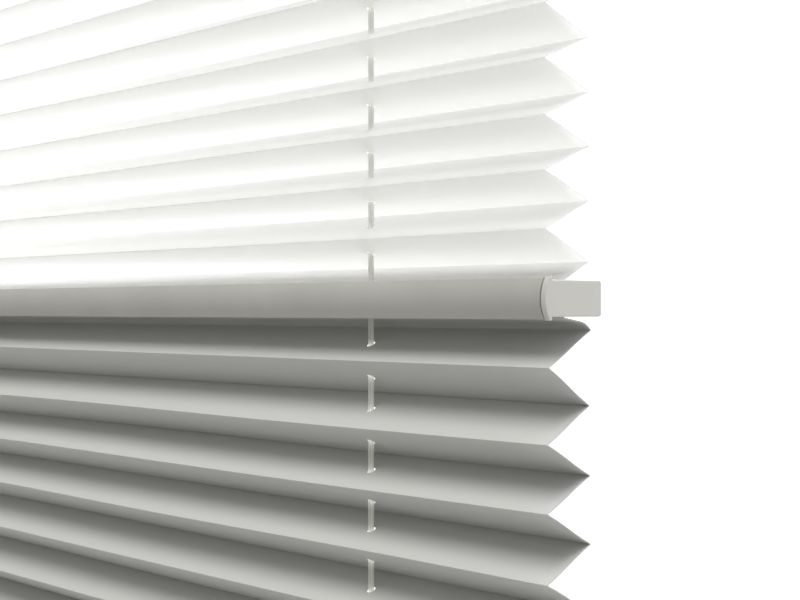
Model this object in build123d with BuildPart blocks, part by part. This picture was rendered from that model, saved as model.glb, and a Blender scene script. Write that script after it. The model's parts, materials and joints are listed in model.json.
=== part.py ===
from build123d import *
from math import hypot, sqrt
import os

# Day-and-night pleated blind on taut cords. The head rail is clipped to brackets under a window's head.
# A middle rail and a bottom rail slide on four cords that run down to two shoes on the sill. The light day
# pleats hang between the head and middle rails, the dark night pleats between the middle and bottom rails.
#
# Frame, in millimetres: X across the window, -Y into the room, +Z up. The origin is midway between the two
# bracket screws, on the brackets' top face.

# --- Driving sizes ---------------------------------------------------------------------------------------
rail_length = 760.0
cord_inset = 86.4            # from each end of the rails to its pair of cords
bracket_spacing = 440.0

# Pleats: every panel is one fold width, laid in a zigzag
panel_width = 20.0
fabric_thickness = 0.3
pleat_count = 18             # pleats of each fabric
day_rise = 7.7               # height that one day panel takes up at rest
night_rise = 9.6
day_first_rise = 8.6         # the pleat beside the middle rail is pulled a little wider
night_first_rise = 10.6
stacked_pleat = 1.2          # height of one pleat when the fabric is pushed together
edge_gap = 0.3               # the fabric stops this far inside each rail end
day_inset = 1.0              # each edge of the sheer fabric stands this much further in
fold_above_rail = 10.5       # from a rail's middle up to the first back fold above it
fold_below_rail = 9.5        # from a rail's middle down to the first back fold below it
cord_hole_radius = 1.6

# Rail section, measured from the rail's middle height and the cords' plane
lip_front = 10.6             # front edge of the fascia's lips
front_bulge = 1.8            # how far the curved front stands out past its lips
rail_rear = 10.4
fascia_back = 9.4
fascia_lip = 0.7             # how far the fascia stands above and below the body
wall = 1.0
channel_lip = 0.8
channel_height = 1.9
channel_half_width = 8.7
slot_half_width = 5.0
web = 0.8
cavity_half = 1.6
head_extra_height = 3.0      # the head rail is this much taller, for the springs
rear_corner_radius = 0.8
lip_radius = 0.3             # rounding of the lips' front corners

# End caps
cap_plate = 2.3
cap_proud = 0.3
cap_flange_depth = 1.0
cap_edge_radius = 0.45
joint_width = 0.8            # the groove left round the joint between a rail and its cap
joint_depth = 0.8
plug_length = 12.0
plug_clearance = 0.15

# Retaining strips
strip_thickness = 0.8
strip_front = 7.95
strip_rear = 7.6
strip_end_gap = 0.5
wrap_gap = 0.1               # between the wrapped fabric and its channel

# The fabric's way through a slot, in shares of half the slot's width and in sheets of fabric
wrap_start_share = 0.68      # in front of the cords' plane, where it goes in
wrap_end_share = 0.6         # behind it, where the wrapped end stops
exit_front_share = 0.45      # in front of it, where the fabric under a rail comes out
exit_rear_share = 0.65       # behind it, where that fabric bows down
exit_drop_sheets = 4         # how far it has bowed down there

# Cords and their hardware
cord_radius = 0.5
strand_offset = 0.65         # each strand of a pair lies this far to one side of the pair's middle
guide_length = 14.0
guide_width = 10.0
guide_clearance = 0.1
guide_boss_radius = 2.7
guide_bore_half_width = 0.9
head_guide_plate = 1.0
horn_radius = 1.5
horn_sink = 0.4              # the horn is moulded this far into its plate
horn_gap = 0.3
crossing_offset = 1.6        # the two crossing strands lie this far either side of the cords' plane
crossing_end_gap = 0.4
ferrule_radius = 2.0
ferrule_length = 5.0
spring_wire_radius = 0.25
spring_radius = 1.85
spring_pitch = 1.2
spring_turns = 20
spring_plug_length = 3.0
spring_plug_gap = 0.1
horizontal_cord_run = 12.0
spring_anchor_length = 8.0

# Brackets
bracket_plate = 1.5
bracket_length = 24.0
bracket_leg = 1.0
bracket_leg_gap = 0.2
bracket_barb = 1.2
barb_gap = 0.15
bracket_hole_radius = 2.1

# Handles
handle_width = 46.0
handle_wall = 1.3
handle_gap = 0.15
handle_reach = 10.0
handle_tab = 1.8
handle_tab_corner = 5.0      # rounding of the tab's front corners, seen from above
handle_tip_share = 0.4       # rounding of the tab's edge, as a share of its thickness
handle_corner = 0.6

# Tension shoes
shoe_length = 14.0
shoe_depth = 26.0
shoe_base = 2.5
shoe_corner = 2.25
shoe_boss_height = 6.0
shoe_boss_depth = 9.0
shoe_boss_length = 10.0
shoe_hole_radius = 1.8
shoe_hole_spacing = 18.0
shoe_bore_radius = 1.7
stop_radius = 2.6
stop_height = 3.0
stop_gap = 0.2
stop_chamfer = 0.35
rail_to_shoe = 2.0           # left between the bottom rail and the shoes at its lowest

# Travel
rail_lowering = 100.0        # how far each moving rail can be drawn down from rest
stack_clearance = 2.4

# --- Heights worked out from the driving sizes ----------------------------------------------------------
channel_floor = cavity_half + web
channel_roof = channel_floor + channel_height
body_half = channel_roof + channel_lip
fascia_half = body_half + fascia_lip
head_body_top = body_half + head_extra_height

head_z = -bracket_plate - head_body_top
end_folds = fold_above_rail + fold_below_rail
day_height = end_folds + 2 * day_first_rise + 2 * (pleat_count - 1) * day_rise
night_height = end_folds + 2 * night_first_rise + 2 * (pleat_count - 1) * night_rise
middle_z = head_z - day_height
bottom_z = middle_z - night_height
shoe_top = bottom_z - body_half - 2 * rail_lowering - rail_to_shoe
shoe_z = shoe_top - shoe_base - shoe_boss_height

night_width = rail_length - 2 * edge_gap
day_width = night_width - 2 * day_inset
strip_length = rail_length - 2 * strip_end_gap
cord_x = rail_length / 2 - cord_inset
outer_run = channel_roof - wrap_gap - fabric_thickness / 2
inner_run = channel_floor + wrap_gap + fabric_thickness / 2
strip_low = (channel_floor + channel_roof - strip_thickness) / 2
horn_z = head_z - cavity_half + guide_clearance + head_guide_plate + horn_radius - horn_sink
sides = (("left", -1), ("right", 1))

stack_height = pleat_count * stacked_pleat + stack_clearance
day_travel = day_height - 2 * body_half - stack_height
night_travel = night_height - 2 * body_half - stack_height
print(f"middle rail {middle_z:.2f}, bottom rail {bottom_z:.2f}, shoe base {shoe_z:.2f}")
print(f"day travel {day_travel:.2f}, night travel {night_travel:.2f}")

os.makedirs("parts", exist_ok=True)


def save(builder, name):
    builder.part.label = name
    export_step(builder.part, f"parts/{name}.step")


# --- Rails -----------------------------------------------------------------------------------------------
def fascia_line(z, top, bottom, grow=0.0, back=fascia_back, mode=Mode.ADD):
    """The D-shaped front of a rail: a curved face between two lips, closed by a straight back."""
    top_corner = (-lip_front - grow, z + top + grow)
    bottom_corner = (-lip_front - grow, z - bottom - grow)
    crown = (-lip_front - front_bulge - grow, z + (top - bottom) / 2)
    with BuildLine() as outline:
        ThreePointArc(top_corner, crown, bottom_corner)
        Polyline(bottom_corner, (-back, z - bottom - grow), (-back, z + top + grow), top_corner)
    make_face(outline.edges(), mode=mode)


def block(y_low, y_high, z_low, z_high, mode=Mode.ADD):
    """A rectangle of the current sketch between two corners."""
    with Locations(((y_low + y_high) / 2, (z_low + z_high) / 2)):
        Rectangle(y_high - y_low, z_high - z_low, mode=mode)


def channel(floor, roof, opening):
    """A channel for a fabric's wrapped end, with the slot that it opens through."""
    block(-channel_half_width, channel_half_width, min(floor, roof), max(floor, roof), Mode.SUBTRACT)
    block(-slot_half_width, slot_half_width, min(roof, opening), max(roof, opening), Mode.SUBTRACT)


def front_hollow(z, body_top):
    """The crescent-shaped hollow behind a rail's curved front, one wall inside it."""
    middle = z + (body_top - body_half) / 2
    half = (body_top + body_half) / 2 - wall
    back = channel_half_width + wall
    upper = (-back, middle + half)
    lower = (-back, middle - half)
    with BuildLine() as crescent:
        ThreePointArc(upper, (-lip_front - front_bulge + wall, middle), lower)
        Line(lower, upper)
    make_face(crescent.edges(), mode=Mode.SUBTRACT)


def rail(z, body_top, top_channel, bottom_channel, top_slot=False):
    """One extruded rail, with its channels, its hollow for the cords and its holes for the guides."""
    with BuildPart() as built:
        with BuildSketch(Plane.YZ.offset(-rail_length / 2)) as section:
            fascia_line(z, body_top + fascia_lip, fascia_half)
            block(-fascia_back, rail_rear, z - body_half, z + body_top)
            fillet(section.vertices().group_by(Axis.X)[-1], rear_corner_radius)
            fillet(section.vertices().group_by(Axis.X)[0], lip_radius)
            roof = z + body_top - wall
            floor = z - body_half + wall
            if top_channel:
                channel(z + channel_floor, z + channel_roof, z + body_top)
                roof = z + cavity_half
            if bottom_channel:
                channel(z - channel_floor, z - channel_roof, z - body_half)
                floor = z - cavity_half
            if top_slot:
                block(-slot_half_width, slot_half_width, roof, z + body_top, Mode.SUBTRACT)
            block(-channel_half_width, channel_half_width, floor, roof, Mode.SUBTRACT)
            front_hollow(z, body_top)
        extrude(amount=rail_length)
        with Locations(*[(side * cord_x, 0, z) for _, side in sides]):
            Cylinder(guide_boss_radius + guide_clearance, 2 * fascia_half, mode=Mode.SUBTRACT)
    return built


head_rail = rail(head_z, head_body_top, top_channel=False, bottom_channel=True, top_slot=True)
save(head_rail, "head_rail")
middle_rail = rail(middle_z, body_half, top_channel=True, bottom_channel=True)
save(middle_rail, "middle_rail")
bottom_rail = rail(bottom_z, body_half, top_channel=True, bottom_channel=False)
save(bottom_rail, "bottom_rail")


# --- End caps --------------------------------------------------------------------------------------------
def cap_outline(z, body_top, grow, inset=0.0):
    """A rail's outline in the current sketch. grow moves the front out, and inset draws the body in."""
    flange_back = lip_front - cap_flange_depth
    fascia_line(z, body_top + fascia_lip, fascia_half, grow, flange_back)
    block(-flange_back, rail_rear - inset, z - body_half + inset, z + body_top - inset)


def end_cap(side, z, body_top, plug_low, plug_high):
    """A moulded plate that follows the rail's outline, on a step and a plug pushed into its hollow."""
    rail_end = side * rail_length / 2
    with BuildPart() as cap:
        with BuildSketch(Plane.YZ.offset(rail_end + side * joint_width)) as outline:
            cap_outline(z, body_top, cap_proud)
            fillet(outline.vertices().group_by(Axis.X)[-1], rear_corner_radius)
        extrude(amount=side * (cap_plate - joint_width))
        outer_face = cap.faces().sort_by(Axis.X)[-1 if side > 0 else 0]
        fillet(outer_face.edges(), cap_edge_radius)
        with BuildSketch(Plane.YZ.offset(rail_end)):
            cap_outline(z, body_top, -joint_depth, joint_depth)
        extrude(amount=side * joint_width)
        with BuildSketch(Plane.YZ.offset(rail_end)):
            half_width = channel_half_width - plug_clearance
            block(-half_width, half_width, z + plug_low + plug_clearance, z + plug_high - plug_clearance)
        extrude(amount=-side * plug_length)
    return cap


for name, side in sides:
    head_cap = end_cap(side, head_z, head_body_top, -cavity_half, head_body_top - wall)
    save(head_cap, f"head_rail_cap_{name}")
    middle_cap = end_cap(side, middle_z, body_half, -cavity_half, cavity_half)
    save(middle_cap, f"middle_rail_cap_{name}")
    bottom_cap = end_cap(side, bottom_z, body_half, wall - body_half, cavity_half)
    save(bottom_cap, f"bottom_rail_cap_{name}")


# --- Fabrics and the strips that hold their ends ----------------------------------------------------------
def fold_points(z, first_rise, rise):
    """Fold lines of one fabric's section, from its first back fold down, panel by panel."""
    y = sqrt(panel_width**2 - rise**2) / 2
    points = [(y, z)]
    for panel in range(2 * pleat_count):
        fall = first_rise if panel < 2 else rise
        step = sqrt(panel_width**2 - fall**2)
        y = y - step if panel % 2 == 0 else y + step
        z = z - fall
        points.append((y, z))
    return points


def wrapped_end(z, up):
    """The fabric's end round its strip, from the slot inward. up is 1 in a top channel, else -1."""
    front = -(channel_half_width + strip_front) / 2
    return [
        (-wrap_start_share * slot_half_width, z + up * outer_run),
        (front, z + up * outer_run),
        (front, z + up * inner_run),
        (wrap_end_share * slot_half_width, z + up * inner_run),
    ]


def hanging_start(z):
    """The half panel under a rail, bowed as it leaves the slot and turns to the first back fold."""
    return [
        (-exit_front_share * slot_half_width, z - body_half - fabric_thickness),
        (exit_rear_share * slot_half_width, z - body_half - exit_drop_sheets * fabric_thickness),
    ]


def ribbon(points):
    """The closed outline of a sheet of fabric_thickness whose middle line runs through the points."""
    half = fabric_thickness / 2
    normals = []
    for (y0, z0), (y1, z1) in zip(points, points[1:]):
        length = hypot(y1 - y0, z1 - z0)
        normals.append(((z0 - z1) / length, (y1 - y0) / length))
    near, far = [], []
    for index, (y, z) in enumerate(points):
        before = normals[max(index - 1, 0)]
        after = normals[min(index, len(normals) - 1)]
        scale = half / (1 + before[0] * after[0] + before[1] * after[1])
        offset_y = scale * (before[0] + after[0])
        offset_z = scale * (before[1] + after[1])
        near.append((y + offset_y, z + offset_z))
        far.append((y - offset_y, z - offset_z))
    return near + far[::-1]


def pleated_fabric(upper_z, lower_z, folds, width):
    """One folded sheet, punched for the cords, with each end wrapped inside a rail."""
    path = wrapped_end(upper_z, -1)[::-1] + hanging_start(upper_z) + folds + wrapped_end(lower_z, 1)
    with BuildPart() as fabric:
        with BuildSketch(Plane.YZ.offset(-width / 2)):
            with BuildLine():
                Polyline(*ribbon(path), close=True)
            make_face()
        extrude(amount=width)
        with Locations(*[(side * cord_x, 0, (upper_z + lower_z) / 2) for _, side in sides]):
            Cylinder(cord_hole_radius, upper_z - lower_z, mode=Mode.SUBTRACT)
    return fabric


day_folds = fold_points(middle_z + fold_above_rail, -day_first_rise, -day_rise)[::-1]
night_folds = fold_points(middle_z - fold_below_rail, night_first_rise, night_rise)
save(pleated_fabric(head_z, middle_z, day_folds, day_width), "day_fabric")
save(pleated_fabric(middle_z, bottom_z, night_folds, night_width), "night_fabric")


def retaining_strip(z, up):
    """A flat plastic strip that keeps a fabric's wrapped end from pulling out of its slot."""
    middle = z + up * (strip_low + strip_thickness / 2)
    with BuildPart() as strip:
        with BuildSketch(Plane.YZ.offset(-strip_length / 2)):
            block(-strip_front, strip_rear, middle - strip_thickness / 2, middle + strip_thickness / 2)
        extrude(amount=strip_length)
        with Locations(*[(side * cord_x, 0, middle) for _, side in sides]):
            Cylinder(guide_boss_radius, 2 * strip_thickness, mode=Mode.SUBTRACT)
    return strip


save(retaining_strip(head_z, -1), "day_fabric_top_strip")
save(retaining_strip(middle_z, 1), "day_fabric_bottom_strip")
save(retaining_strip(middle_z, -1), "night_fabric_top_strip")
save(retaining_strip(bottom_z, 1), "night_fabric_bottom_strip")


# --- Cord guides -----------------------------------------------------------------------------------------
def guide_bore(x, z, height):
    """The long hole through a guide that the two strands of a pair share."""
    with BuildSketch(Plane.XY.offset(z - height / 2)) as bore:
        with Locations((x, 0)):
            SlotCenterToCenter(2 * strand_offset, 2 * guide_bore_half_width)
    extrude(bore.sketch, amount=height, mode=Mode.SUBTRACT)


def sliding_guide(side, z, low, bottom_boss):
    """The guide in a moving rail: a block with a boss each way and an inlet for the crossing cords."""
    x = side * cord_x
    top = cavity_half - guide_clearance
    bottom = low + guide_clearance
    with BuildPart() as guide:
        with Locations((x, 0, z + (top + bottom) / 2)):
            Box(guide_length, guide_width, top - bottom)
        boss_high = cavity_half + web
        with Locations((x, 0, z + (boss_high + bottom_boss) / 2)):
            Cylinder(guide_boss_radius, boss_high - bottom_boss)
        guide_bore(x, z, 2 * fascia_half)
        inlet_length = guide_length / 2 - strand_offset
        inlet_width = 2 * (crossing_offset + cord_radius + guide_bore_half_width)
        with Locations((x - side * (guide_length - inlet_length) / 2, 0, z)):
            Box(inlet_length, inlet_width, 2 * guide_bore_half_width, mode=Mode.SUBTRACT)
    return guide


def head_guide(side):
    """The guide in the head rail: a plate with a round horn that the cords bend over to their spring."""
    x = side * cord_x
    plate_z = head_z - cavity_half + guide_clearance
    horn_x = x - side * (strand_offset + cord_radius + horn_gap + horn_radius)
    with BuildPart() as guide:
        with Locations((x, 0, plate_z + head_guide_plate / 2)):
            Box(guide_length, guide_width, head_guide_plate)
        with Locations((x, 0, plate_z - (web + guide_clearance) / 2)):
            Cylinder(guide_boss_radius, web + guide_clearance)
        guide_bore(x, head_z, 2 * fascia_half)
        with Locations((horn_x, 0, horn_z)):
            Cylinder(horn_radius, guide_width, rotation=(90, 0, 0))
    return guide


for name, side in sides:
    save(head_guide(side), f"head_cord_guide_{name}")
    middle_guide = sliding_guide(side, middle_z, -cavity_half, -cavity_half - web)
    save(middle_guide, f"middle_cord_guide_{name}")
    bottom_guide = sliding_guide(side, bottom_z, -body_half + wall, -body_half)
    save(bottom_guide, f"bottom_cord_guide_{name}")


# --- Cords -----------------------------------------------------------------------------------------------
stop_top = shoe_z + stop_height + stop_gap
inner_turn = horn_radius + horn_gap + cord_radius
spring_x = cord_x - strand_offset - inner_turn - horizontal_cord_run


def taut_strand(side, outer):
    """One taut cord from its ferrule, over the horn and straight down to the stop under its shoe."""
    offset = strand_offset if outer else -strand_offset
    turn = inner_turn + (2 * strand_offset if outer else 0)
    x = side * (cord_x + offset)
    run_z = horn_z + turn
    with BuildPart() as strand:
        with BuildLine() as route:
            FilletPolyline((side * spring_x, 0, run_z), (x, 0, run_z), (x, 0, stop_top), radius=turn)
        with BuildSketch(Plane(origin=route.line @ 0, z_dir=route.line % 0)):
            Circle(cord_radius)
        sweep()
    return strand


def crossing_strand(z, y):
    """The stretch of a cord that crosses inside a moving rail, from one guide's inlet to the other's."""
    reach = cord_x - strand_offset - crossing_end_gap
    with BuildPart() as strand:
        with BuildSketch(Plane.YZ.offset(-reach)):
            with Locations((y, z)):
                Circle(cord_radius)
        extrude(amount=2 * reach)
    return strand


for name, side in sides:
    save(taut_strand(side, outer=False), f"middle_rail_cord_{name}")
    save(taut_strand(side, outer=True), f"bottom_rail_cord_{name}")
for place, z in (("middle", middle_z), ("bottom", bottom_z)):
    save(crossing_strand(z, -crossing_offset), f"{place}_rail_crossing_cord_front")
    save(crossing_strand(z, crossing_offset), f"{place}_rail_crossing_cord_rear")


# --- Springs in the head rail ----------------------------------------------------------------------------
spring_z = horn_z + inner_turn + strand_offset
spring_length = spring_pitch * spring_turns
plug_radius = spring_radius - spring_wire_radius - spring_plug_gap
anchor_x = spring_x - ferrule_length - spring_length


def tension_spring(side):
    """The open coil that keeps a pair of cords taut."""
    start = (anchor_x if side > 0 else ferrule_length - spring_x, 0, spring_z)
    with BuildPart() as spring:
        with BuildLine() as coil:
            Helix(spring_pitch, spring_length, spring_radius, center=start, direction=(1, 0, 0))
        with BuildSketch(Plane(origin=coil.line @ 0, z_dir=coil.line % 0)):
            Circle(spring_wire_radius)
        sweep(is_frenet=True)
    return spring


def ferrule(side):
    """The sleeve that joins two cords to the end of their spring."""
    with BuildPart() as sleeve:
        with BuildSketch(Plane.YZ.offset(side * spring_x)):
            with Locations((0, spring_z)):
                Circle(ferrule_radius)
        extrude(amount=-side * (ferrule_length - spring_wire_radius))
        with BuildSketch(Plane.YZ.offset(side * spring_x)):
            with Locations((0, spring_z)):
                Circle(plug_radius)
        extrude(amount=-side * (ferrule_length + spring_plug_length))
    return sleeve


def spring_anchor(side):
    """The block, wedged across the head rail's hollow, that a spring pulls on."""
    face = side * (anchor_x - spring_wire_radius)
    block_half = channel_half_width - plug_clearance
    low = head_z - cavity_half + plug_clearance
    with BuildPart() as anchor:
        with BuildSketch(Plane.YZ.offset(face)):
            block(-block_half, block_half, low, head_z + head_body_top - wall - plug_clearance)
        extrude(amount=-side * spring_anchor_length)
        with BuildSketch(Plane.YZ.offset(face)):
            with Locations((0, spring_z)):
                Circle(plug_radius)
        extrude(amount=side * spring_plug_length)
    return anchor


for name, side in sides:
    save(tension_spring(side), f"tension_spring_{name}")
    save(ferrule(side), f"cord_ferrule_{name}")
    save(spring_anchor(side), f"spring_anchor_{name}")


# --- Brackets --------------------------------------------------------------------------------------------
def mounting_bracket(side):
    """A spring-steel clip: a screwed plate with two barbed legs that snap into the head rail's top slot."""
    plate_half = fascia_back - bracket_leg_gap
    leg_outer = slot_half_width - bracket_leg_gap
    barb_top = -bracket_plate - wall - barb_gap
    x = side * bracket_spacing / 2
    with BuildPart() as bracket:
        with BuildSketch(Plane.YZ.offset(x - bracket_length / 2)):
            block(-plate_half, plate_half, -bracket_plate, 0)
            for hand in (-1, 1):
                leg = sorted((hand * (leg_outer - bracket_leg), hand * leg_outer))
                block(leg[0], leg[1], barb_top - bracket_barb, -bracket_plate)
                with BuildLine():
                    Polyline(
                        (hand * leg_outer, barb_top),
                        (hand * (leg_outer + bracket_barb), barb_top),
                        (hand * leg_outer, barb_top - bracket_barb),
                        close=True,
                    )
                make_face()
        extrude(amount=bracket_length)
        with Locations((x, 0, 0)):
            Cylinder(bracket_hole_radius, 2 * bracket_plate, mode=Mode.SUBTRACT)
    return bracket


for name, side in sides:
    save(mounting_bracket(side), f"mounting_bracket_{name}")


# --- Handles ---------------------------------------------------------------------------------------------
def handle(z):
    """A clip-on pull at the middle of a moving rail: it hooks over both lips. Its finger tab is in front."""
    front = -lip_front - front_bulge - handle_gap - handle_wall
    half = fascia_half + handle_gap + handle_wall
    hook_back = -fascia_back + handle_gap + handle_wall / 2
    with BuildPart() as pull:
        with BuildSketch(Plane.YZ.offset(-handle_width / 2)) as section:
            block(front, hook_back, z - half, z + half)
            fillet(section.vertices().group_by(Axis.Y)[-1].sort_by(Axis.X)[0], handle_corner)
            fascia_line(z, fascia_half, fascia_half, handle_gap, fascia_back - handle_gap, Mode.SUBTRACT)
            body_edge = body_half + handle_gap
            block(-fascia_back, rail_rear, z - body_edge, z + body_edge, Mode.SUBTRACT)
        extrude(amount=handle_width)
        with BuildSketch(Plane.XY.offset(z - half)) as tab:
            with Locations((0, front - handle_reach / 2)):
                Rectangle(handle_width, handle_reach)
            fillet(tab.vertices().group_by(Axis.Y)[0], handle_tab_corner)
        extrude(amount=handle_tab)
        tip = pull.faces().sort_by(Axis.Y)[0]
        fillet(tip.edges().filter_by(Axis.X), handle_tip_share * handle_tab)
    return pull


save(handle(middle_z), "middle_rail_handle")
save(handle(bottom_z), "bottom_rail_handle")


# --- Tension shoes ---------------------------------------------------------------------------------------
def tension_shoe(side):
    """The foot screwed to the sill that holds the lower end of a pair of cords."""
    x = side * cord_x
    with BuildPart() as shoe:
        with Locations((x, 0, shoe_z + shoe_base / 2)):
            Box(shoe_length, shoe_depth, shoe_base)
        fillet(shoe.edges().filter_by(Axis.Z), shoe_corner)
        boss_height = shoe_base + shoe_boss_height
        with Locations((x, 0, shoe_z + boss_height / 2)):
            Box(shoe_boss_length, shoe_boss_depth, boss_height)
        fillet(shoe.faces().sort_by(Axis.Z)[-1].edges(), handle_corner)
        guide_z = shoe_z + boss_height / 2
        with Locations((x, 0, guide_z)):
            Cylinder(shoe_bore_radius, boss_height, mode=Mode.SUBTRACT)
        with Locations((x, 0, shoe_z + (stop_height + stop_gap) / 2)):
            Cylinder(stop_radius + stop_gap, stop_height + stop_gap, mode=Mode.SUBTRACT)
        with Locations((x, -shoe_hole_spacing / 2, shoe_z), (x, shoe_hole_spacing / 2, shoe_z)):
            Cylinder(shoe_hole_radius, 2 * boss_height, mode=Mode.SUBTRACT)
    return shoe


def cord_stop(side):
    """The bead that the cords' lower ends are knotted into, drawn up under the shoe's shoulder."""
    with BuildPart() as stop:
        with Locations((side * cord_x, 0, stop_top - stop_height / 2)):
            Cylinder(stop_radius, stop_height)
        chamfer(stop.edges().group_by(Axis.Z)[0], stop_chamfer)
    return stop


for name, side in sides:
    save(tension_shoe(side), f"tension_shoe_{name}")
    save(cord_stop(side), f"cord_stop_{name}")
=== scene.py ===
"""Looks of the day-and-night pleated blind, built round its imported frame.

Metres, in the part's own frame: X across the window, -Y into the room, +Z up."""
import json
import math
import random

import bpy
import numpy as np
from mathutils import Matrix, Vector


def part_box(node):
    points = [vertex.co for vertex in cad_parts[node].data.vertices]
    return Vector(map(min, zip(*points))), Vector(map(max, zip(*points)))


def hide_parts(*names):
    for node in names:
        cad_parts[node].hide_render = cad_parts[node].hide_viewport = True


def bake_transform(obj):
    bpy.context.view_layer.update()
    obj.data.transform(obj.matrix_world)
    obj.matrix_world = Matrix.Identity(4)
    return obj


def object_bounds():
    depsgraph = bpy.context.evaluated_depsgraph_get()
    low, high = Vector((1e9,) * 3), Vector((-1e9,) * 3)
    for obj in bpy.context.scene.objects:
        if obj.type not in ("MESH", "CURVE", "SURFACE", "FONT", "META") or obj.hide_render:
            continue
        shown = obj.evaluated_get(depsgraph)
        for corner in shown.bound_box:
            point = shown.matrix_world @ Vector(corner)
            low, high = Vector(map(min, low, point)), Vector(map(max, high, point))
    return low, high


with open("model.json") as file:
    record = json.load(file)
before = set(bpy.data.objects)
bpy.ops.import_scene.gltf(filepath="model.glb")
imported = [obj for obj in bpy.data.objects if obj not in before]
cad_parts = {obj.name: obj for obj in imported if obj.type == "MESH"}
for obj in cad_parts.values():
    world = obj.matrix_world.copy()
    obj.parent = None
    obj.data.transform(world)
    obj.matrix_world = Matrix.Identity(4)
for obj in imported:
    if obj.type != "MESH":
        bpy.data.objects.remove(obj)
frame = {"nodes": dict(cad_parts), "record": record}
cad_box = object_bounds()
random.seed(7)

# --- What the frame says ---------------------------------------------------------------------------------
head_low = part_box("head_rail")[0]
middle_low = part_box("middle_rail")[0]
bottom_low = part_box("bottom_rail")[0]
night_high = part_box("night_fabric")[1]
guide_low, guide_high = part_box("middle_cord_guide_right")
cord_x = (guide_low.x + guide_high.x) / 2

# --- The fabrics' own sizes, as they were cut and folded --------------------------------------------------
PANEL = 0.020                # one panel, from fold to fold
PLEATS = 18
SHEET = 0.0003               # thickness
FASCIA_HALF = 0.0058         # a rail's lip, from its middle height
BODY_HALF = 0.0051           # and its body
FOLD_ABOVE = 0.0105          # from a rail's middle up to the first back fold above it
FOLD_BELOW = 0.0095          # and down to the first one below it
FIRST_LIFT = 0.0006          # the night fabric's first one rides up this much
DAY_FIRST_RISES = (0.0086, 0.0086)                 # the panels next to the middle rail are pulled wider
NIGHT_FIRST_RISES = (0.0103, 0.01105, 0.01005)
CORD_HOLE = 0.0015           # radius
SLOT_HALF = 0.0050           # half the width of the slot that a rail's channel opens through

# The fabrics' ends, wrapped round a strip in a rail's channel and let out through its slot
WRAP_FRONT = -0.008325       # the wrap's front
WRAP_OUTER = 0.00405         # its two layers, from the rail's middle height
WRAP_INNER = 0.00265
WRAP_START = 0.68            # where the wrap goes in, as a share of SLOT_HALF in front of the cords
WRAP_END = 0.6               # where its end stops, behind them
EXIT_FRONT = 0.45            # where the fabric under a rail comes out, in front of them
EXIT_REAR = 0.65             # where it bows down, behind them
EXIT_DROP = 3 * SHEET        # how far it has bowed down there

# How the cloth gives between its folds
START_BOW = 0.00065          # how far the half panel under a rail stands out from straight
BOW = 0.09                   # a panel is this much flatter beside its folds
WANDER_DEEP = 0.00022        # how far a fold line strays from straight, in depth
WANDER_HIGH = 0.8 * WANDER_DEEP                    # and in height
WAVES = 5                    # sine waves that add up to such a line
WAVE_PACES = (4, 26)         # their range of paces, in radians a metre
CREASE = 0.00022             # length of a fold's rounding on each side
CREASE_SHARE = 0.1           # and the most that it takes of a short stretch
CREASE_PULL = 0.35           # how far the rounding draws the fold in
SETTLED = 2.7                # creases away from its fold, a panel's bend has settled
ROWS_BY_HOLE = (-1.6, -1, -0.5, 0, 0.5, 1, 1.6)    # rows and columns round a hole, in hole radii
COLUMNS_TO_EDGE = 6          # from a cord to the fabric's edge
COLUMNS_BETWEEN = 38         # from one cord to the other
SHARP = math.radians(60)     # edges sharper than this stay hard


# --- Camera ----------------------------------------------------------------------------------------------
def make_camera():
    """Level with the middle rail, a little off the blind's right end, and turned along its face."""
    data = bpy.data.cameras.new("camera")
    data.sensor_width = 36.0
    data.lens = 68.4
    data.shift_y = 0.0121
    made = bpy.data.objects.new("camera", data)
    past_end, into_room, below_middle = 0.2881, 0.3130, 0.0031
    made.location = (night_high.x + past_end, -into_room, middle_low.z + FASCIA_HALF - below_middle)
    made.rotation_euler = (math.radians(90), 0, math.radians(49))
    bpy.context.scene.collection.objects.link(made)
    bpy.context.scene.camera = made


make_camera()


# --- Material building -----------------------------------------------------------------------------------
NOISE_LOW, NOISE_HIGH = 0.3, 0.7           # most of a noise's values lie between these
COLOUR_A, COLOUR_B, COLOUR_MIXED = 6, 7, 2    # a mix node's colour sockets, whose names its others share


def add_node(tree, kind, inputs=None, **settings):
    """A node with its settings. Each input is linked when its value is a socket, else set."""
    node = tree.nodes.new(kind)
    for name, value in settings.items():
        setattr(node, name, value)
    for name, value in (inputs or {}).items():
        if isinstance(value, bpy.types.NodeSocket):
            tree.links.new(value, node.inputs[name])
        else:
            node.inputs[name].default_value = value
    return node


def new_material(name, **values):
    """A material whose uniform values sit on the shader's own sockets."""
    made = bpy.data.materials.new(name)
    made.use_nodes = True
    shader = made.node_tree.nodes["Principled BSDF"]
    for key, value in values.items():
        shader.inputs[key.replace("_", " ").title()].default_value = value
    return made, made.node_tree, shader


def noise(tree, size, detail=2.0, stretch=(1.0, 1.0, 1.0), turn=0.0):
    """Noise whose features are about size metres, drawn out along turned axes."""
    place = add_node(tree, "ShaderNodeTexCoord").outputs["Object"]
    laid = {"Vector": place, "Rotation": (0.0, 0.0, turn), "Scale": stretch}
    turned = add_node(tree, "ShaderNodeMapping", laid, vector_type="TEXTURE").outputs["Vector"]
    wanted = {"Vector": turned, "Scale": 1.0 / size, "Detail": detail}
    return add_node(tree, "ShaderNodeTexNoise", wanted).outputs["Fac"]


def wave_scale(pitch):
    """A wave texture's scale for waves of a pitch in metres. It turns by 20 radians a metre at scale 1."""
    return 2 * math.pi / (20 * pitch)


def threads(tree, pitch, axis):
    """Fine parallel threads, as a wave across one axis."""
    place = add_node(tree, "ShaderNodeTexCoord").outputs["Object"]
    wanted = {"Vector": place, "Scale": wave_scale(pitch), "Distortion": 0.6, "Detail": 1.0}
    return add_node(tree, "ShaderNodeTexWave", wanted, bands_direction=axis).outputs["Fac"]


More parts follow.
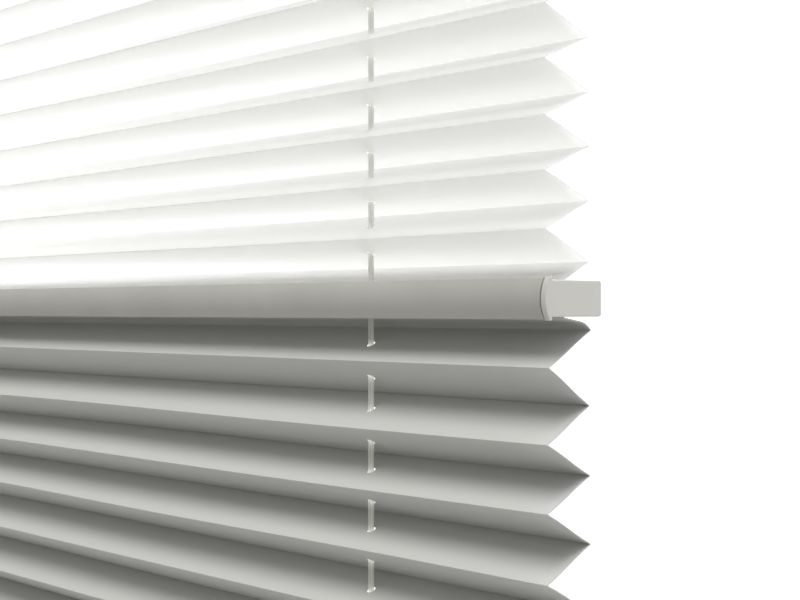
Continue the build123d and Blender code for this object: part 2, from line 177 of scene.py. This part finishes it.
def spread(tree, value, low, high):
    """A noise taken from its usual range to low to high, and no further."""
    wanted = {"Value": value, "From Min": NOISE_LOW, "From Max": NOISE_HIGH, "To Min": low, "To Max": high}
    return add_node(tree, "ShaderNodeMapRange", wanted).outputs["Result"]


def between(tree, factor, dark, light):
    """A colour between two, by a factor."""
    wanted = {"Factor": factor, COLOUR_A: (*dark, 1), COLOUR_B: (*light, 1)}
    return add_node(tree, "ShaderNodeMix", wanted, data_type="RGBA").outputs[COLOUR_MIXED]


def sum_of(tree, first, second):
    return add_node(tree, "ShaderNodeMath", {0: first, 1: second}, operation="ADD").outputs[0]


def bump(tree, shader, height, depth, strength=1.0):
    wanted = {"Height": height, "Distance": depth, "Strength": strength}
    tree.links.new(add_node(tree, "ShaderNodeBump", wanted).outputs["Normal"], shader.inputs["Normal"])


def moulded(name, dark, light, rough, grain, depth, patch=0.02):
    """A hard finish: faint patches of colour, uneven gloss and a fine grained surface."""
    made, tree, shader = new_material(name)
    cloud = noise(tree, patch, detail=3.0)
    tree.links.new(between(tree, spread(tree, cloud, 0, 1), dark, light), shader.inputs["Base Color"])
    tree.links.new(spread(tree, cloud, rough - 0.05, rough + 0.05), shader.inputs["Roughness"])
    bump(tree, shader, noise(tree, grain), depth)
    return made


def let_through(tree, colour, share):
    """Swaps a share of a surface for one that passes light on, as thin cloth and thread do."""
    passed = add_node(tree, "ShaderNodeBsdfTranslucent", {"Color": colour})
    both = add_node(tree, "ShaderNodeMixShader", {0: share})
    tree.links.new(tree.nodes["Principled BSDF"].outputs["BSDF"], both.inputs[1])
    tree.links.new(passed.outputs["BSDF"], both.inputs[2])
    tree.links.new(both.outputs["Shader"], tree.nodes["Material Output"].inputs["Surface"])


def cloth(name, shown, passed, through, pitch):
    """A fine woven sheet: crossing threads, slubs, and diagonal streaks of painted sheen in its colour. It
    lets a share of the light through.

    shown and passed are the dark and light tones of what it reflects and of what it lets through."""
    made, tree, shader = new_material(name, roughness=0.85, sheen_weight=0.15, sheen_roughness=0.5)
    slubs = noise(tree, 0.0012, stretch=(14.0, 1.0, 1.0))
    # Diagonal streaks of painted sheen, laid into the colour and the bump.
    painted_sheen_streaks = noise(tree, 0.004, stretch=(9.0, 1.0, 1.0), turn=math.radians(32))
    # The slubs and the painted sheen streaks add up to about 1, so most of the cloth has its light tones.
    # It is dark where both are low.
    tone = spread(tree, sum_of(tree, slubs, painted_sheen_streaks), -0.9, 1.1)
    tree.links.new(between(tree, tone, *shown), shader.inputs["Base Color"])
    weave = sum_of(tree, threads(tree, pitch, "X"), threads(tree, pitch * 1.15, "Y"))
    bump(tree, shader, sum_of(tree, weave, painted_sheen_streaks), depth=0.00001, strength=0.5)
    let_through(tree, between(tree, tone, *passed), through)
    return made


def braided(name, dark, light, lean, through, pitch):
    """A thin braided cord: two sets of strands that lean either way and cross. It lets light through."""
    made, tree, shader = new_material(name, roughness=0.6, sheen_weight=0.2)
    place = add_node(tree, "ShaderNodeTexCoord").outputs["Object"]
    strands = []
    for turn in (-lean, lean):
        laid = {"Vector": place, "Rotation": (0, turn, 0)}
        turned = add_node(tree, "ShaderNodeMapping", laid).outputs["Vector"]
        wanted = {"Vector": turned, "Scale": wave_scale(pitch)}
        strands.append(add_node(tree, "ShaderNodeTexWave", wanted, bands_direction="Z").outputs["Fac"])
    nearer = {0: strands[0], 1: strands[1]}
    crossed = add_node(tree, "ShaderNodeMath", nearer, operation="MAXIMUM").outputs[0]
    tone = between(tree, crossed, dark, light)
    tree.links.new(tone, shader.inputs["Base Color"])
    bump(tree, shader, crossed, depth=0.00004)
    let_through(tree, tone, through)
    return made


def drawn_metal(name, dark, light, rough):
    """Bare metal with fine drawing lines along X."""
    made, tree, shader = new_material(name, metallic=1.0)
    lines = noise(tree, 0.0002, detail=3.0, stretch=(30.0, 1.0, 1.0))
    tree.links.new(between(tree, spread(tree, lines, 0, 1), dark, light), shader.inputs["Base Color"])
    tree.links.new(spread(tree, lines, rough - 0.06, rough + 0.08), shader.inputs["Roughness"])
    bump(tree, shader, lines, depth=0.000006)
    return made


def grey(value, red=1.0, blue=1.0):
    """A grey with its share of red and of blue."""
    return (value * red, value, value * blue)


def greys(dark, light, red=1.0, blue=1.0):
    return grey(dark, red, blue), grey(light, red, blue)


finishes = {
    "rail_coat": moulded("rail_coat", *greys(0.375, 0.405, 1.015, 0.92),
                         rough=0.36, grain=0.0004, depth=0.000006),
    "cap_plastic": moulded("cap_plastic", *greys(0.50, 0.53, 1.01, 0.945),
                           rough=0.55, grain=0.00025, depth=0.00001),
    "strip_plastic": moulded("strip_plastic", *greys(0.66, 0.70),
                             rough=0.4, grain=0.0006, depth=0.00001),
    "guide_plastic": moulded("guide_plastic", *greys(0.62, 0.66, 1.01, 0.98),
                             rough=0.45, grain=0.0005, depth=0.00001),
    "day_cloth": cloth("day_cloth", shown=greys(0.77, 0.83, 1, 0.992), passed=greys(0.84, 0.90, 1, 0.992),
                       through=0.73, pitch=0.00034),
    "night_cloth": cloth("night_cloth", shown=greys(0.52, 0.56, 0.99, 0.95), passed=greys(0.45, 0.50),
                         through=0.07, pitch=0.00038),
    "cord_braid": braided("cord_braid", *greys(0.82, 0.97, 0.99, 0.965),
                          lean=math.radians(38), through=0.6, pitch=0.00045),
    "spring_steel": drawn_metal("spring_steel", *greys(0.48, 0.62), rough=0.3),
    "ferrule_brass": drawn_metal("ferrule_brass", (0.55, 0.40, 0.17), (0.70, 0.53, 0.26), rough=0.32),
}


def paint(obj, slot):
    """Gives every material slot of an object one finish."""
    if not obj.data.materials:
        obj.data.materials.append(finishes[slot])
    for index in range(len(obj.data.materials)):
        obj.data.materials[index] = finishes[slot]


# --- Fabrics ---------------------------------------------------------------------------------------------
def fold_points(start_z, end_z, first_rises):
    """Fold lines of one fabric's section, from the back fold next to the middle rail to the last one."""
    way = math.copysign(1, end_z - start_z)
    even = (abs(end_z - start_z) - sum(first_rises)) / (2 * PLEATS - len(first_rises))
    y, z = math.sqrt(PANEL**2 - even**2) / 2, start_z
    points = [(y, z)]
    for panel in range(2 * PLEATS):
        rise = first_rises[panel] if panel < len(first_rises) else even
        step = math.sqrt(PANEL**2 - rise**2)
        y = y - step if panel % 2 == 0 else y + step
        z = z + way * rise
        points.append((y, z))
    return points


def wrapped_end(z, up):
    """The end round its retaining strip, from the slot inward. up is 1 in a top channel, else -1."""
    return [
        (-WRAP_START * SLOT_HALF, z + up * WRAP_OUTER),
        (WRAP_FRONT, z + up * WRAP_OUTER),
        (WRAP_FRONT, z + up * WRAP_INNER),
        (WRAP_END * SLOT_HALF, z + up * WRAP_INNER),
    ]


def hanging_start(z, fold):
    """The half panel under a rail: it leaves the slot, lies back and bows down to the first back fold."""
    drop = BODY_HALF + SHEET
    rest = (EXIT_REAR * SLOT_HALF, z - drop - EXIT_DROP)
    run, fall = fold[0] - rest[0], fold[1] - rest[1]
    points = [(-EXIT_FRONT * SLOT_HALF, z - drop), rest]
    for share in (0.25, 0.5, 0.75):
        out = START_BOW * math.sin(math.pi * share) / math.hypot(run, fall)
        points.append((rest[0] + share * run - out * fall, rest[1] + share * fall + out * run))
    return points


class Wander:
    """A smooth seeded curve along X."""

    def __init__(self, size):
        self.waves = []
        for _ in range(WAVES):
            pace, start = random.uniform(*WAVE_PACES), random.uniform(0, 2 * math.pi)
            self.waves.append((pace, start, random.gauss(0, size)))

    def at(self, x):
        return sum(size * np.sin(pace * x + start) for pace, start, size in self.waves) / math.sqrt(WAVES)


def row_places(start, end, pleat):
    """Places along a stretch of the section, as shares of it, and the row at which a cord passes."""
    length = math.hypot(end[0] - start[0], end[1] - start[1])
    edge = min(CREASE / length, CREASE_SHARE)
    if start[0] * end[0] >= 0:
        return [edge, 0.5, 1 - edge], None
    centre = start[0] / (start[0] - end[0])
    hole = [centre + step * CORD_HOLE / length for step in ROWS_BY_HOLE]
    near = [edge, SETTLED * edge, hole[0] / 2] if pleat else [edge]
    far = [(1 + hole[-1]) / 2, 1 - SETTLED * edge, 1 - edge] if pleat else [1 - edge]
    places = [p for p in near if p < hole[0] - edge] + hole + [p for p in far if p > hole[-1] + edge]
    return places, places.index(hole[3])


def rounded_fold(before, fold, after):
    """A fold line, drawn in between a point before it and a point as far past it."""
    reach = math.dist(before, fold) / math.dist(fold, after)
    ahead = [f + reach * (a - f) for f, a in zip(fold, after)]
    return tuple(f + CREASE_PULL * ((b + a) / 2 - f) for b, f, a in zip(before, fold, ahead))


def section_rows(points, first_fold):
    """Rows of the sheet's middle line: place in Y and Z, fold before it, share of the way on, and holes."""
    rows, holes = [(points[0], 0, 0.0)], []
    last = len(points) - 2
    for index, (start, end) in enumerate(zip(points, points[1:])):
        pleat = first_fold <= index < first_fold + 2 * PLEATS
        places, hole = row_places(start, end, pleat)
        if hole is not None:
            holes.append(len(rows) + hole)
        bow = BOW if pleat else 0.0
        for share in places:
            fall = share - bow * math.sin(2 * math.pi * share) / (2 * math.pi)
            y = start[0] + share * (end[0] - start[0])
            z = start[1] + fall * (end[1] - start[1])
            rows.append(((y, z), index, share))
        if index < last:
            rows.append((rounded_fold(rows[-1][0], end, points[index + 2]), index + 1, 0.0))
        else:
            rows.append((end, index + 1, 0.0))
    return rows, holes


def sheet_columns(low, high):
    """Columns along X, close together round the cord holes, and the middle column of each hole."""
    steps = np.array(ROWS_BY_HOLE) * CORD_HOLE
    left, right = -cord_x + steps, cord_x + steps
    parts = [
        np.linspace(low, left[0], COLUMNS_TO_EDGE, endpoint=False),
        left,
        np.linspace(left[-1], right[0], COLUMNS_BETWEEN)[1:-1],
        right,
        np.linspace(right[-1], high, COLUMNS_TO_EDGE)[1:],
    ]
    columns = np.concatenate(parts)
    return columns, [int(np.argmin(abs(columns - side * cord_x))) for side in (-1, 1)]


def fabric(name, points, first_fold, low, high):
    """One folded sheet with its cord holes, as a closed mesh of the sheet's thickness."""
    rows, hole_rows = section_rows(points, first_fold)
    columns, hole_columns = sheet_columns(low, high)
    wander_y = [Wander(WANDER_DEEP) for _ in range(len(points) + 1)]
    wander_z = [Wander(WANDER_HIGH) for _ in range(len(points) + 1)]
    stirred = range(first_fold + 1, first_fold + 2 * PLEATS)
    middle = np.zeros((len(rows), len(columns), 3))
    for r, ((y, z), index, share) in enumerate(rows):
        middle[r, :, 0] = columns
        middle[r, :, 1] = y
        middle[r, :, 2] = z
        for fold, weight in ((index, 1 - share), (index + 1, share)):
            if fold in stirred:
                middle[r, :, 1] += weight * wander_y[fold].at(columns)
                middle[r, :, 2] += weight * wander_z[fold].at(columns)
    along = np.gradient(middle, axis=0)
    normal = np.stack([np.zeros_like(along[..., 0]), -along[..., 2], along[..., 1]], axis=-1)
    normal /= np.linalg.norm(normal, axis=-1, keepdims=True)
    gone, holed = set(), set()
    for r in hole_rows:
        for c in hole_columns:
            cut_hole(middle, r, c)
            gone |= {(r + i, c + j) for i in (-1, 0, 1) for j in (-1, 0, 1)}
            holed |= {(r + i, c + j) for i in (-2, -1, 0, 1) for j in (-2, -1, 0, 1)}
    return shell(name, middle, normal * SHEET / 2, gone, holed)


def cut_hole(middle, r, c):
    """Moves the grid's square round a cord hole onto a circle."""
    centre = middle[r, c].copy()
    across = middle[r, c + 1] - centre
    down = middle[r + 1, c] - centre
    across *= CORD_HOLE / np.linalg.norm(across)
    down *= CORD_HOLE / np.linalg.norm(down)
    for i in range(-2, 3):
        for j in range(-2, 3):
            if max(abs(i), abs(j)) == 2:
                size = math.hypot(i, j)
                middle[r + i, c + j] = centre + across * j / size + down * i / size


def shell(name, middle, half, gone, holed):
    """A closed mesh from a grid and its half thickness. gone are cut-out points, holed cut-out cells."""
    number, points = {}, []
    count_r, count_c = middle.shape[:2]
    for side in (1, -1):
        for r in range(count_r):
            for c in range(count_c):
                if (r, c) not in gone:
                    number[side, r, c] = len(points)
                    points.append(middle[r, c] + side * half[r, c])
    faces, border = [], {}
    for r in range(count_r - 1):
        for c in range(count_c - 1):
            if (r, c) in holed:
                continue
            ring = [(r, c), (r, c + 1), (r + 1, c + 1), (r + 1, c)]
            faces.append([number[1, *p] for p in ring])
            faces.append([number[-1, *p] for p in reversed(ring)])
            for a, b in zip(ring, ring[1:] + ring[:1]):
                if border.pop((b, a), None) is None:
                    border[a, b] = True
    for a, b in border:
        faces.append([number[1, *b], number[1, *a], number[-1, *a], number[-1, *b]])
    mesh = bpy.data.meshes.new(name)
    mesh.from_pydata([tuple(p) for p in points], [], faces)
    mesh.validate()
    mesh.update()
    made = bpy.data.objects.new(name, mesh)
    bpy.context.scene.collection.objects.link(made)
    mesh.shade_smooth()
    mesh.set_sharp_from_angle(angle=SHARP)
    return made


def follow_evenly(made, a, b, start_z, end_z):
    """Bakes the sheet's transform into its mesh and reads out its points."""
    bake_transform(made)
    places = np.zeros(3 * len(made.data.vertices))
    made.data.vertices.foreach_get("co", places)


# Each rail's middle height, from its lower lip
head_z = head_low.z + FASCIA_HALF
middle_z = middle_low.z + FASCIA_HALF
bottom_z = bottom_low.z + FASCIA_HALF

day_folds = fold_points(middle_z + FOLD_ABOVE, head_z - FOLD_BELOW, DAY_FIRST_RISES)[::-1]
night_folds = fold_points(middle_z - FOLD_BELOW + FIRST_LIFT, bottom_z + FOLD_ABOVE, NIGHT_FIRST_RISES)


def hang(name, slot, node, folds, levels, bodies):
    upper_z, lower_z = levels
    low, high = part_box(node)
    start = wrapped_end(upper_z, -1)[::-1] + hanging_start(upper_z, folds[0])
    made = fabric(name, start + folds + wrapped_end(lower_z, 1), len(start), low.x, high.x)
    paint(made, slot)
    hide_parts(node)
    follow_evenly(made, *bodies, upper_z - FASCIA_HALF, lower_z + FASCIA_HALF)


hang("day_pleats", "day_cloth", "day_fabric", day_folds,
     (head_z, middle_z), ("root", "middle"))
hang("night_pleats", "night_cloth", "night_fabric", night_folds,
     (middle_z, bottom_z), ("middle", "bottom"))


# --- Finishes of the carried-over pieces -----------------------------------------------------------------
for part in frame["record"]["subparts"]:
    paint(frame["nodes"][part["node"]], part["material_slot"])


# --- Floor and light -------------------------------------------------------------------------------------
def faded(made, near, far):
    """A material's surface fades out between two distances from its object's origin."""
    tree = made.node_tree
    place = add_node(tree, "ShaderNodeTexCoord").outputs["Object"]
    away = add_node(tree, "ShaderNodeVectorMath", {0: place}, operation="LENGTH").outputs["Value"]
    wanted = {"Value": away, "From Min": near, "From Max": far}
    gone = add_node(tree, "ShaderNodeMapRange", wanted, interpolation_type="SMOOTHSTEP").outputs["Result"]
    both = add_node(tree, "ShaderNodeMixShader", {0: gone})
    tree.links.new(tree.nodes["Principled BSDF"].outputs["BSDF"], both.inputs[1])
    tree.links.new(add_node(tree, "ShaderNodeBsdfTransparent").outputs["BSDF"], both.inputs[2])
    tree.links.new(both.outputs["Shader"], tree.nodes["Material Output"].inputs["Surface"])
    return made


def make_floor():
    """A plain pale floor under the tension shoes, which fades out all round."""
    half, fade_from = 1.5, 0.4
    corners = [(-half, -half), (half, -half), (half, half), (-half, half)]
    mesh = bpy.data.meshes.new("floor")
    mesh.from_pydata([(x, y, 0) for x, y in corners], [], [(0, 1, 2, 3)])
    made = bpy.data.objects.new("floor", mesh)
    made.location.z = cad_box[0].z
    bpy.context.scene.collection.objects.link(made)
    matte = moulded("floor_matte", *greys(0.56, 0.58), rough=0.7, grain=0.002, depth=0.00002, patch=0.4)
    mesh.materials.append(faded(matte, fade_from, half))


def make_world(room, window):
    """Soft light from every side, brighter behind the blind, as through a window."""
    world = bpy.data.worlds.new("studio")
    world.use_nodes = True
    tree = world.node_tree
    direction = add_node(tree, "ShaderNodeTexCoord").outputs["Generated"]
    depth = add_node(tree, "ShaderNodeSeparateXYZ", {"Vector": direction}).outputs["Y"]
    wanted = {"Value": depth, "From Min": -0.2, "From Max": 0.35, "To Min": room, "To Max": window}
    level = add_node(tree, "ShaderNodeMapRange", wanted, interpolation_type="SMOOTHSTEP").outputs["Result"]
    background = tree.nodes["Background"]
    background.inputs["Color"].default_value = (1.0, 1.0, 0.99, 1)
    tree.links.new(level, background.inputs["Strength"])
    bpy.context.scene.world = world


def make_softbox(name, place, aim, size, power):
    """A square soft light, unseen by the camera."""
    data = bpy.data.lights.new(name, "AREA")
    data.shape = "SQUARE"
    data.size = size
    data.energy = power
    made = bpy.data.objects.new(name, data)
    made.location = place
    direction = Vector(aim) - Vector(place)
    made.rotation_euler = direction.to_track_quat("-Z", "Y").to_euler()
    made.visible_camera = False
    bpy.context.scene.collection.objects.link(made)


make_floor()
make_world(room=0.46, window=1.5)
make_softbox("key", place=(0.45, -0.85, middle_z + 1.75), aim=(0.1, 0, middle_z), size=1.2, power=33)
make_softbox("window", place=(-0.31, 0.36, middle_z + 0.2), aim=(-0.31, 0, middle_z + 0.1),
             size=0.9, power=8.2)
bpy.context.scene.view_settings.view_transform = "Standard"
